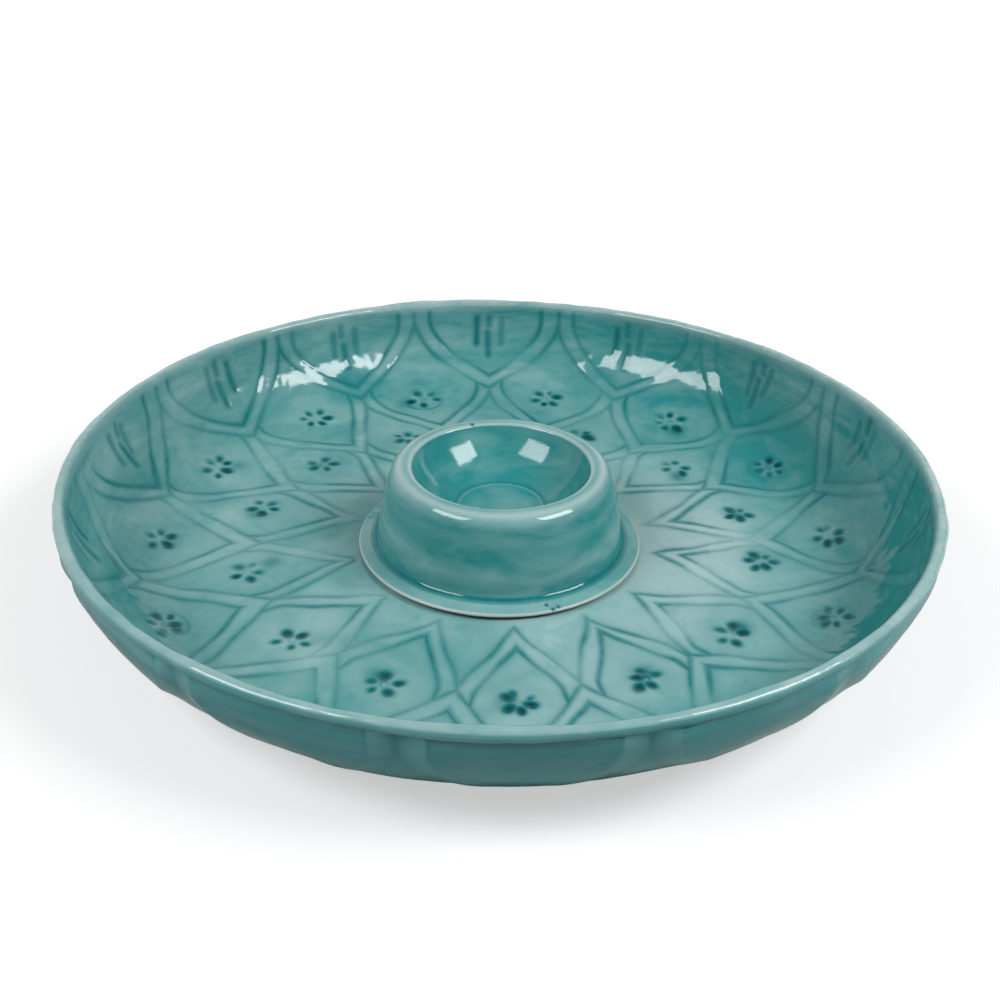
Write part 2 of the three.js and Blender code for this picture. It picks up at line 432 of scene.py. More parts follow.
@dataclass
class Carving:
    """The carved ornament: rows of overlapping scales with double outlines, flowers and dashes."""

    repeats: int = 14
    first_axis: float = math.radians(93.1)
    parting: float = 197.0
    off_centre: Pair = (2.4, 0.0)
    off_centre_fade: Pair = (158.0, 100.0)
    wander: Unevenness = Unevenness(24.0, 0.5, 1)
    firmness: Unevenness = Unevenness(34.0, 0.42, 2)
    line_width: float = 1.35
    line_depth: float = 0.16
    band_rise: float = 0.18
    flower_ring: float = 5.7
    flower_reach: float = 18.0
    petal_size: float = 2.3
    petal_depth: float = 0.5
    dash_width: float = 2.8
    dash_depth: float = 0.3
    dash_spacing: float = 6.3
    # Each dash's side, and how far its head and foot lie below the parting.
    dashes: tuple[tuple[float, float, float], ...] = (
        (-1.0, 1.5, 15.0), (1.0, 1.5, 15.0), (0.0, 9.5, 21.0), (0.0, -0.5, 4.0),
    )
    rows: tuple[ScaleRow, ...] = (
        ScaleRow(68.0, 10.3, 6.2, 1.45, False, Flower(113.4, 1.0, 0.88, 0.15, math.pi, 0.0)),
        ScaleRow(108.2, 11.0, 6.8, 1.55, True, Flower(149.7, 1.2, 1.06, 0.65, 0.0, 1.0)),
        ScaleRow(155.8, 6.8, 9.0, 1.9, False, None),
    )

    def __post_init__(self) -> None:
        """Place every point of every scale, each a little off as a hand cuts it."""
        rng = np.random.default_rng(SEED)
        step = math.tau / self.repeats
        self.tips: list[Points] = []
        self.gaps: list[Points] = []
        self.bands: list[Points] = []
        for row in (*self.rows, ScaleRow(self.parting, 0.0, 0.0, 1.0, True, None)):
            turn = self.first_axis + (np.arange(self.repeats) + 0.5 * row.shifted) * step
            turn = turn + rng.normal(0.0, 1.3 if row.flower else 0.9, self.repeats) / row.point
            away = row.point + rng.normal(0.0, 1.0 if row.band else 0.7, self.repeats)
            self.tips.append(np.stack([turn, away], axis=-1))
            self.gaps.append(row.inner_gap + rng.normal(0.0, 0.8, self.repeats))
            self.bands.append(row.band * rng.uniform(0.88, 1.12, self.repeats))

    def local(self, row: int, angle: Points) -> tuple[Points, Points, Points, Points]:
        """Find the scale of a row that each angle lies in.

        Args:
            row: The row's number.
            angle: Angles about the axis.

        Returns:
            The scale's number, the angle from its point, that of the nearer mouth, and that mouth's distance.
        """
        step = math.tau / self.repeats
        tips, mouths = self.tips[row], self.tips[row + 1]
        shifted = int(self.rows[row].shifted)
        number = np.round((angle - self.first_axis) / step - 0.5 * shifted).astype(int) % self.repeats
        for _ in range(2):
            after = (number + shifted) % self.repeats
            before = (after - 1) % self.repeats
            tip = tips[number, 0]
            swing, right, left = (turned_from(tip, a) for a in (angle, mouths[after, 0], mouths[before, 0]))
            moved = np.where(swing > right, 1, np.where(swing < left, -1, 0))
            number = (number + moved) % self.repeats
        side = swing >= 0.0
        mouth = np.where(side, mouths[after, 1], mouths[before, 1])
        return number, swing, np.where(side, right, -left), mouth

    def edges(self, row: int, spots: Spots) -> tuple[Points, Points, Points]:
        """Signed distances to a scale's two outlines, positive inside.

        Args:
            row: The row's number.
            spots: The spots to measure.

        Returns:
            The scale's number, and the distances from its outer and its inner outline.
        """
        power = self.rows[row].power
        number, swing, half, mouth = self.local(row, spots.angle)
        tip = self.tips[row][number, 1]
        found = []
        for gap, narrower in ((0.0, 0.0), (self.gaps[row][number], self.bands[row][number])):
            span = mouth - tip - gap
            drop = np.clip((mouth - spots.distance) / span, 0.0, 1.3)
            width = half * spots.radius - narrower
            lean = width * power * np.maximum(drop, 1e-3) ** (power - 1.0) / span
            inside = width * (1.0 - drop**power) - np.abs(swing) * spots.radius
            found.append(inside / np.sqrt(1.0 + lean**2))
        return number, found[0], found[1]

    def relief(self, spots: Spots, places: Points) -> Marks:
        """The carving's height and what it does to the glaze.

        Args:
            spots: The spots to carve.
            places: The same spots in space, in millimetres.

        Returns:
            What the carving does at each spot.
        """
        spots = self.shifted(spots)
        marks = Marks(*np.zeros((3, len(places))))
        cover = np.zeros(len(places))
        wander = self.wander.at(places)
        firmness = np.clip(0.8 + self.firmness.at(places), 0.2, 1.2)
        for row in reversed(range(len(self.rows))):
            number, outer, inner = self.edges(row, spots)
            outer, inner = outer + wander, inner - wander
            shown = 1.0 - cover
            band = smooth_step(-2.0, 2.0, outer) * smooth_step(2.0, -2.0, inner)
            marks.height += self.band_rise * band * shown
            marks.thin_and_sheen = np.maximum(marks.thin_and_sheen, 0.06 * band * shown)
            drawn_and_shade = np.zeros(len(places))
            for edge, strength in ((outer, 0.8), (inner, 1.0)):
                pressed = firmness * strength
                marks.height -= self.line_depth * hump(edge, 0.0, self.line_width) * pressed * shown
                drawn_and_shade = np.maximum(drawn_and_shade, 0.5 * hump(edge, 0.0, 1.15 * self.line_width) * pressed)
            corner = spots.distance - self.tips[row][number, 1] - self.gaps[row][number]
            # Darker just outside each outer outline, under the overlapping scale: partly glaze gathered
            # there, partly painted shade.
            drawn_and_shade += 0.14 * np.exp(np.minimum(outer, 0.0) / 7.0) * (outer <= 0.0)
            drawn_and_shade += 0.12 * np.exp(-np.maximum(inner, 0.0) / 6.0) * (inner > 0.0)
            drawn_and_shade += 0.18 * np.exp(-np.maximum(corner, 0.0) / 9.0) * (inner > 0.0)
            marks.pool = np.maximum(marks.pool, np.minimum(drawn_and_shade, 0.54) * shown)
            add = self.add_dashes if self.rows[row].flower is None else self.add_flowers
            add(row, number, spots, marks)
            cover = np.maximum(cover, smooth_step(-0.6, 0.6, outer))
        return marks

    def shifted(self, spots: Spots) -> Spots:
        """Measure from the ornament's own middle, which lies a little off the axis on the floor.

        Args:
            spots: Spots measured from the axis.

        Returns:
            The same spots, measured from the ornament's middle.
        """
        share = smooth_step(*self.off_centre_fade, spots.distance)
        x = spots.radius * np.cos(spots.angle) - self.off_centre[0] * share
        y = spots.radius * np.sin(spots.angle) - self.off_centre[1] * share
        away = np.hypot(x, y)
        return Spots(np.arctan2(y, x), spots.distance + away - spots.radius, away)

    def add_flowers(self, row: int, number: Points, spots: Spots, marks: Marks) -> None:
        """Press a flower into each scale of a row, every petal of its own size, place and depth.

        Args:
            row: The row's number.
            number: The scale that each spot lies in.
            spots: The spots, measured from the ornament's middle.
            marks: The marks that the flowers add to.
        """
        rng = np.random.default_rng(SEED + 31 * (row + 1))
        flower = self.rows[row].flower
        middle = flower.distance + rng.normal(0.0, 1.0, self.repeats)
        turn = self.tips[row][:, 0] + rng.normal(0.0, 1.0, self.repeats) / 120.0
        across = turned_from(turn[number], spots.angle) * spots.radius
        along = (spots.distance - middle[number]) * flower.squeeze
        near = np.flatnonzero(np.hypot(across, along) < self.flower_reach)
        across, along, number = across[near], along[near], number[near]
        ring = self.flower_ring * flower.size
        petals = np.where(rng.random(self.repeats) < flower.six_share, 6, 5)
        start = rng.normal(flower.first_petal, 0.25, self.repeats)
        press = rng.uniform(-math.pi, math.pi, self.repeats)
        lift, dip, rise = np.zeros((3, len(near)))
        for petal in range(6):
            slip = rng.normal(0.0, 0.7, (self.repeats, 2))
            size = self.petal_size * rng.uniform(0.75, 1.18, self.repeats)
            there = petal < petals[number]
            spoke = start[number] + math.tau * petal / petals[number]
            depth = 0.62 + 0.34 * np.cos(spoke - press[number]) + rng.normal(0.0, 0.14, self.repeats)[number]
            depth = np.clip(depth, 0.15, 1.1)
            x = across - 1.1 * ring * np.sin(spoke) - slip[number, 0]
            y = along - ring * np.cos(spoke) - slip[number, 1]
            out, side = x * np.sin(spoke) + y * np.cos(spoke), x * np.cos(spoke) - y * np.sin(spoke)
            away = np.hypot(out / 1.2, side / 0.92) / size[number]
            pressed = self.petal_depth * (0.4 + 0.6 * depth) * np.exp(-(away**2.2))
            lift = np.minimum(lift, -pressed * there)
            dip = np.maximum(dip, (0.34 + 0.7 * depth) * np.exp(-((away / 1.05) ** 2.2)) * there)
            rise = np.maximum(rise, hump(away, 1.6, 0.4) * there)
        reach = np.hypot(across, along)
        heart = reach / 1.9
        rise *= smooth_step(ring + 2.5, ring - 0.5, reach)
        lift += 0.14 * rise - 0.1 * np.exp(-(heart**2.4))
        below = smooth_step(0.1, 0.9, -along / np.maximum(reach, 1.0)) * flower.crescent
        edge = hump(reach, 1.75 * ring, 1.1) * below * rng.uniform(-0.3, 1.0, self.repeats)[number]
        edge = np.maximum(edge, 0.0)
        lift -= 0.2 * edge
        dip = np.maximum(dip, 0.5 * edge)
        dip = np.maximum(dip, 0.3 * hump(heart, 0.8, 0.42) * rng.uniform(0.0, 1.0, self.repeats)[number])
        smear_at = rng.normal(0.0, 5.2, (self.repeats, 2))[number]
        smear = rng.uniform(0.05, 0.6, self.repeats)[number]
        smear *= hump(np.hypot(across - smear_at[:, 0], along - smear_at[:, 1]), 0.0, 5.2)
        halo = np.exp(-((reach / 9.0) ** 4))
        marks.height[near] += lift - 0.12 * halo
        marks.pool[near] = np.maximum(marks.pool[near], dip)
        marks.pool[near] += 0.08 * halo + smear
        marks.thin_and_sheen[near] = np.maximum(marks.thin_and_sheen[near], 0.36 * rise * (1.0 - np.clip(dip, 0.0, 1.0)))

    def add_dashes(self, row: int, number: Points, spots: Spots, marks: Marks) -> None:
        """Draw upright dashes into each outermost scale.

        Args:
            row: The row's number.
            number: The scale that each spot lies in.
            spots: The spots, measured from the ornament's middle.
            marks: The marks that the dashes add to.
        """
        rng = np.random.default_rng(SEED + 77)
        across = turned_from(self.tips[row][number, 0], spots.angle) * spots.radius
        near = np.flatnonzero((np.abs(across) < 14.0) & (spots.distance > self.parting - 30.0))
        across, along, number = across[near], spots.distance[near], number[near]
        deepest, halo = np.zeros((2, len(near)))
        for side, head, foot in self.dashes:
            slip = rng.normal(0.0, 0.7, (self.repeats, 3))
            lean = rng.normal(0.0, 0.05, self.repeats)
            force = rng.uniform(0.65, 1.1, self.repeats)
            top = self.parting - head + slip[number, 0]
            bottom = self.parting - foot + slip[number, 1]
            beyond = np.maximum(np.maximum(along - top, bottom - along), 0.0)
            middle = side * self.dash_spacing + slip[number, 2] + lean[number] * (along - top)
            away = np.hypot(across - middle, beyond)
            deepest = np.maximum(deepest, force[number] * hump(away, 0.0, self.dash_width))
            halo = np.maximum(halo, hump(away, 2.4, 1.0))
        marks.height[near] -= self.dash_depth * deepest
        marks.pool[near] = np.maximum(marks.pool[near], 0.57 * deepest)
        marks.thin_and_sheen[near] = np.maximum(marks.thin_and_sheen[near], 0.1 * halo)


@dataclass(frozen=True)
class GlazedStoneware:
    """Turquoise translucent glaze fired on stoneware, with cloudy patches of a size in millimetres."""

    # Glossy and glassy: clear reflections, deep teal where the glaze is thick, milky pale where it lies thin
    # or cools cloudy, and nearly white where it breaks over a sharp edge.
    # The deep, full, milky and pale tones also serve for painted shade and painted reflection, where the
    # coats carry them.
    cloud_size: float
    streak: float
    wispy: float
    wisp_size: float = 9.0
    ripple_size: float = 2.6
    ripple_height: float = 0.4
    cloudiness: float = 0.42
    roughness: Pair = (0.05, 0.13)
    deep: str = "#00474C"
    full: str = "#1C7B7F"
    clear: str = "#2F8D8E"
    milky: str = "#8FB8B8"
    pale: str = "#B2C9C9"
    edge: str = "#C3C4BD"

    def make(self, name: str) -> Material:
        """Build the material.

        Args:
            name: The material's name.

        Returns:
            The new material.
        """
        material = bpy.data.materials.new(name)
        tree = emptied_tree(material)
        place = add_node(tree, "ShaderNodeTexCoord")["Object"]
        stretched = {"Vector": place, "Scale": (1.0, 1.0, self.streak)}
        laid = add_node(tree, "ShaderNodeMapping", stretched)["Vector"]
        # The coats read here carry glaze pooling, clouding and thinning together with painted shade and
        # painted reflection.
        pool, thin_and_sheen, milk, dull = (
            add_node(tree, "ShaderNodeAttribute", attribute_name=coat.value)["Fac"] for coat in Coat
        )
        clouds, wisps, ripples = (
            add_node(tree, "ShaderNodeTexNoise", {
                "Vector": laid, "Scale": 1.0 / (size * MM), "Detail": detail,
                "Roughness": 0.55, "Distortion": warp,
            }, noise_dimensions="3D")["Fac"]
            for size, detail, warp in (
                (self.cloud_size, 3.0, 0.6), (self.wisp_size, 4.0, 0.6), (self.ripple_size, 2.0, 0.0),
            )
        )
        added = {0: wisps, 1: self.wispy, 2: clouds}
        drift = add_node(tree, "ShaderNodeMapRange", {
            "Value": add_node(tree, "ShaderNodeMath", added, operation="MULTIPLY_ADD")[0],
            "From Min": 0.25 + 0.5 * self.wispy, "From Max": 0.75 + 0.5 * self.wispy,
            "To Min": -self.cloudiness, "To Max": self.cloudiness,
        })["Result"]
        milk = add_node(tree, "ShaderNodeMath", {0: milk, 1: drift}, operation="ADD", use_clamp=True)[0]
        flaws = add_node(tree, "ShaderNodeMath", {0: wisps, 1: 0.5}, operation="SUBTRACT")[0]
        pool = add_node(tree, "ShaderNodeMath", {0: flaws, 1: 0.3, 2: pool}, operation="MULTIPLY_ADD")[0]
        colour = linear(self.clear)
        for value, low, high, shade in (
            (milk, 0.0, 1.0, self.milky),
            (thin_and_sheen, 0.0, 1.0, self.pale),
            (thin_and_sheen, 0.8, 1.0, self.edge),
            (pool, 0.06, 0.6, self.full),
            (pool, 0.5, 1.0, self.deep),
        ):
            limits = {"Value": value, "From Min": low, "From Max": high}
            share = add_node(tree, "ShaderNodeMapRange", limits)["Result"]
            mixed = {0: share, 6: colour, 7: linear(shade)}
            colour = add_node(tree, "ShaderNodeMix", mixed, data_type="RGBA")[2]
        bumps = {"Height": ripples, "Strength": 0.06, "Distance": self.ripple_height * MM}
        limits = {"Value": wisps, "To Min": self.roughness[0], "To Max": self.roughness[1]}
        gloss = add_node(tree, "ShaderNodeMapRange", limits)["Result"]
        shader = add_node(tree, "ShaderNodeBsdfPrincipled", {
            "Base Color": colour, "IOR": 1.5,
            "Roughness": add_node(tree, "ShaderNodeMath", {0: gloss, 1: dull}, operation="ADD")[0],
            "Normal": add_node(tree, "ShaderNodeBump", bumps)["Normal"],
        })
        add_node(tree, "ShaderNodeOutputMaterial", {"Surface": shader["BSDF"]})
        return material


@dataclass(frozen=True)
class BareStoneware:
    """Unglazed fired clay, ground flat where the piece stands."""

    # Dry, matt and warm grey-brown, with fine darker grit of a size in millimetres.
    clay: str = "#A58A74"
    grit: str = "#6E5645"
    grit_size: float = 1.4
    grit_height: float = 0.3

    def make(self, name: str) -> Material:
        """Build the material.

        Args:
            name: The material's name.

        Returns:
            The new material.
        """
        material = bpy.data.materials.new(name)
        tree = emptied_tree(material)
        place = add_node(tree, "ShaderNodeTexCoord")["Object"]
        specks = add_node(tree, "ShaderNodeTexNoise", {
            "Vector": place, "Scale": 1.0 / (self.grit_size * MM), "Detail": 4.0, "Roughness": 0.7,
        }, noise_dimensions="3D")["Fac"]
        limits = {"Value": specks, "From Min": 0.5, "From Max": 0.72}
        share = add_node(tree, "ShaderNodeMapRange", limits)["Result"]
        mixed = {0: share, 6: linear(self.clay), 7: linear(self.grit)}
        bumps = {"Height": specks, "Strength": 0.4, "Distance": self.grit_height * MM}
        shader = add_node(tree, "ShaderNodeBsdfPrincipled", {
            "Base Color": add_node(tree, "ShaderNodeMix", mixed, data_type="RGBA")[2], "Roughness": 0.82,
            "Normal": add_node(tree, "ShaderNodeBump", bumps)["Normal"], "IOR": 1.45,
        })
        add_node(tree, "ShaderNodeOutputMaterial", {"Surface": shader["BSDF"]})
        return material


@dataclass
class Platter:
    """The platter: foot ring, flat floor, quarter-round wall, rolled rim and carving. In millimetres."""

    diameter: float = 368.0
    height: float = 56.0
    floor_level: float = 11.5
    floor_thickness: float = 4.0
    wall_thickness: float = 3.8
    cove_reach: float = 42.0
    belly_reach: float = 48.0
    bead_diameter: float = 5.2
    foot_diameter: float = 240.0
    foot_width: float = 7.0
    foot_round: float = 1.0
    foot_flare: float = 1.2
    plain_reach: float = 64.0
    coarse_step: float = 4.0
    fine_step: float = 0.7
    columns: int = 1568
    # Radii below which a ring has half as many points, above and underneath.
    upper_limits: tuple[float, ...] = (32.0, 63.0, 107.0)
    lower_limits: tuple[float, ...] = (60.0, 150.0, 1000.0)
    # Distances along the upper surface over which the tones of floor, middle and high wall set in: glaze
    # clouding, and painted reflection and shade that differ from side to side.
    floor_fade: Pair = (172.0, 118.0)
    middle_fade: Pair = (125.0, 90.0)
    high_fade: Pair = (174.0, 196.0)
    # Middle and width of a painted reflection: a pale veil on the floor, right of the middle.
    painted_reflection_patch: tuple[float, float, float] = (90.0, -6.0, 42.0)
    inner_waves: tuple[Unevenness, ...] = (
        Unevenness(46.0, 0.3, 5), Unevenness(13.0, 0.11, 6), Unevenness(5.5, 0.03, 7),
    )
    outer_waves: tuple[Unevenness, ...] = (Unevenness(40.0, 0.3, 8), Unevenness(9.0, 0.06, 9))
    rim_patches: tuple[Unevenness, ...] = (Unevenness(22.0, 0.2, 4), Unevenness(5.0, 0.12, 3))
    carving: Carving = field(default_factory=Carving)

    def __post_init__(self) -> None:
        """Turn the plain form."""
        path, zones = self.half_section()
        self.form = TurnedMesh(path, zones, self.ring_columns(path, zones))

    def upper_path(self) -> Points:
        """The upper surface from the axis to the wall's top.

        Returns:
            Radius and level per point, closely spaced.
        """
        top = self.height - self.bead_diameter / 2
        reach = self.diameter / 2 - self.bead_diameter - self.cove_reach
        floor = np.array([[0.0, self.floor_level], [reach, self.floor_level]])
        wall = arc((reach, top), self.cove_reach, top - self.floor_level, -90.0, 0.0, 400)
        return np.concatenate([floor, wall[1:]])

    def half_section(self) -> tuple[Points, list[Zone]]:
        """The half section from the axis on top to the axis underneath.

        Returns:
            Radius and level per ring, and each ring's zone.
        """
        bead = self.bead_diameter / 2
        top = self.height - bead
        wall_top = self.diameter / 2 - self.bead_diameter
        belly = wall_top + self.wall_thickness - self.belly_reach
        under = self.floor_level - self.floor_thickness
        crease = -math.degrees(math.acos(self.wall_thickness / bead - 1.0))
        upper = self.upper_path()
        whole = length_of(upper)
        coarse = np.arange(self.coarse_step, self.plain_reach, self.coarse_step)
        fine = np.linspace(self.plain_reach, whole, round((whole - self.plain_reach) / self.fine_step) + 1)
        outer = arc((belly, top), self.belly_reach, top - under, -3.2, -90.0, 400)
        foot, small = self.foot_diameter / 2, self.foot_round
        inner_foot = foot - self.foot_width
        ring = np.concatenate([
            [[foot + self.foot_flare, under]],
            arc((foot - small, small), small, small, 0.0, -90.0, 4),
            arc((inner_foot + small, small), small, small, -90.0, -180.0, 4),
            [[inner_foot - self.foot_flare, under]],
        ])
        return joined([
            (resampled(upper, np.concatenate([coarse, fine])), Zone.UPPER),
            (arc((wall_top + bead, top), bead, bead, 180.0, crease, 26)[1:], Zone.RIM),
            (evenly(outer, 1.25), Zone.OUTER),
            (evenly(np.array([[belly - 1.5, under], [foot + 1.6, under]]), 2.0), Zone.UNDER),
            (ring, Zone.BARE),
            (evenly(np.array([[inner_foot - 2.0, under], [self.coarse_step, under]]), 5.0), Zone.UNDER),
        ])

    def ring_columns(self, path: Points, zones: list[Zone]) -> list[int]:
        """How many points each ring has: most where the carving is, fewer towards the axis and underneath."""
        limits = [self.upper_limits if zone.value <= Zone.RIM.value else self.lower_limits for zone in zones]
        return [thinned(self.columns, radius, below) for (radius, _), below in zip(path, limits)]

    def build(self, glaze: Material, clay: Material) -> Object:
        """Make the platter.

        Args:
            glaze: The glazed finish.
            clay: The bare clay of the foot.

        Returns:
            The platter's object.
        """
        self.glaze_inside()
        self.carve_inside()
        self.glaze_rim()
        self.shape_outside()
        made = self.form.build("platter_carved", glaze, clay)
        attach(made, Body.PLATTER.value)
        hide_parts("platter")
        return made

    def glaze_inside(self) -> None:
        """Let the glaze cloud over on the floor and thin out on the wall, and paint reflection and shade that
        differ from side to side.
        """
        form = self.form
        inside = np.flatnonzero(form.zone <= Zone.RIM.value)
        places, away = form.plain[inside], form.distance[inside]
        soft = uneven(places, self.inner_waves)
        form.height[inside] += soft * smooth_step(self.plain_reach, self.plain_reach + 8.0, away)
        fades = (self.floor_fade, self.middle_fade, self.high_fade)
        floor, middle, high = (smooth_step(*fade, away) for fade in fades)
        x, y = places[:, 0], places[:, 1]
        right, back = np.maximum(x, 0.0), np.maximum(y, 0.0)
        # Paler on the floor: glaze clouding there and painted reflection of the bright backdrop. Painted
        # reflection and shade by side: the middle paler to the right, the wall paler to the left and darker
        # to the right, the back wall and the high right wall paler.
        form.milk[inside] = 0.22 + 0.42 * floor + (0.12 + 0.0026 * x) * middle
        form.milk[inside] -= 0.0012 * x * (1.0 - floor) + 0.0008 * right * (1.0 - middle)
        form.milk[inside] += 0.0008 * back * (1.0 - floor)
        form.milk[inside] += 0.0011 * right * high
        # A painted reflection: a pale veil laid on the floor's right.
        patch = np.hypot(x - self.painted_reflection_patch[0], y - self.painted_reflection_patch[1])
        form.thin_and_sheen[inside] += 0.56 * hump(patch, 0.0, self.painted_reflection_patch[2]) * (0.2 * floor + 0.8 * middle)

    def carve_inside(self) -> None:
        """Carve the upper surface, from the plain middle to the wall's top."""
        form = self.form
        start = self.plain_reach
        carved = np.flatnonzero((form.zone == Zone.UPPER.value) & (form.distance > start - 2.0))
        away = form.distance[carved]
        marks = self.carving.relief(Spots(form.angle[carved], away, form.radius[carved]), form.plain[carved])
        top = length_of(self.upper_path())
        fade = smooth_step(top + 0.5, top - 3.0, away) * smooth_step(start - 1.0, start + 2.0, away)
        form.height[carved] += marks.height * fade
        form.pool[carved] += marks.pool * fade
        form.thin_and_sheen[carved] += marks.thin_and_sheen * fade
        form.thin_and_sheen[carved] += 0.3 * smooth_step(top - 3.0, top, away)

    def glaze_rim(self) -> None:
        """Let the glaze break pale over the rim's crown, with painted light that makes it paler to the back
        and the right, and paint shade on the rim's outer underside.
        """
        form = self.form
        rim = form.zone == Zone.RIM.value
        places = form.plain[rim]
        out = form.radius[rim] - (self.diameter - self.bead_diameter) / 2
        up = form.level[rim] - self.height + self.bead_diameter / 2
        # Painted shade on the rim's outer underside.
        shaded_underside = smooth_step(2.0, 0.6, up) * smooth_step(-0.5, 0.5, out)
        # Pale where the glaze breaks over the crown, with painted light growing to the back and the right.
        broken_and_lit = 0.66 + places @ (0.0004, 0.0011, 0.0) - 0.34 * smooth_step(-0.6, -1.9, out)
        broken_and_lit = np.minimum(broken_and_lit * (1.0 + uneven(places, self.rim_patches)), 0.92)
        # The underside loses its pale break and cloud and takes painted shade.
        form.thin_and_sheen[rim] += broken_and_lit * (1.0 - 0.9 * shaded_underside)
        form.milk[rim] *= 1.0 - 0.8 * shaded_underside
        form.pool[rim] += 0.24 * shaded_underside
        form.dull[rim] += 0.02

    def shape_outside(self) -> None:
        """Give the outer wall the soft reverse of the outermost scales, and paint shade on it, reflection on
        its sides and light and shade on its facets.
        """
        form = self.form
        outside = np.flatnonzero(form.zone == Zone.OUTER.value)
        places, angle, level = form.plain[outside], form.angle[outside], form.level[outside]
        reach = form.radius[outside]
        top = self.height - self.bead_diameter / 2
        under = self.floor_level - self.floor_thickness
        turn = np.arccos(np.clip((top - level) / (top - under), 0.0, 1.0))
        upper = self.upper_path()
        along = distances(upper)
        distance = np.interp(turn, np.linspace(0.0, math.pi / 2, len(along) - 1), along[1:])
        radius = np.interp(distance, along, upper[:, 0])
        last = len(self.carving.rows) - 1
        number, outer, inner = self.carving.edges(last, Spots(angle, distance, radius))
        across = turned_from(self.carving.tips[last][number, 0], angle) * reach
        band = smooth_step(-0.8, 0.8, outer) * smooth_step(0.8, -0.8, inner)
        ramp = np.clip(outer / np.maximum(outer - inner, 1.0), 0.0, 1.0)
        faceted = ramp * (0.6 + ramp * 0.16 * across**2 / reach)
        fade = smooth_step(52.5, 46.0, level) * smooth_step(under, under + 2.0, level)
        form.height[outside] += (faceted + uneven(places, self.outer_waves)) * fade
        # Painted reflection of the floor on the wall's sides, more on the right.
        right = places[:, 0]
        side = smooth_step(20.0, 170.0, right) + 0.5 * smooth_step(-20.0, -170.0, right)
        # Painted light and shade on the facets: each band paler as it tilts towards the light, the fields
        # darker; darker along the reversed outlines.
        form.milk[outside] = 0.04 + 0.26 * band * ramp - 0.06 * smooth_step(0.0, 4.0, inner) + 0.3 * side
        form.pool[outside] += 0.22 * hump(outer, 0.0, 1.6) + 0.16 * hump(inner, 0.0, 1.6)
        # Painted shade: the whole outer wall darker, most towards the rim above it.
        painted_shade_below_rim = 0.26 * smooth_step(30.0, 50.0, level) + 0.2 * smooth_step(47.0, 51.4, level)
        form.pool[outside] += 0.2 + painted_shade_below_rim
        # Less painted shade on the sides and where the facets catch the light.
        form.pool[outside] *= (1.0 - 0.6 * side) * (1.0 - 0.45 * band * ramp)


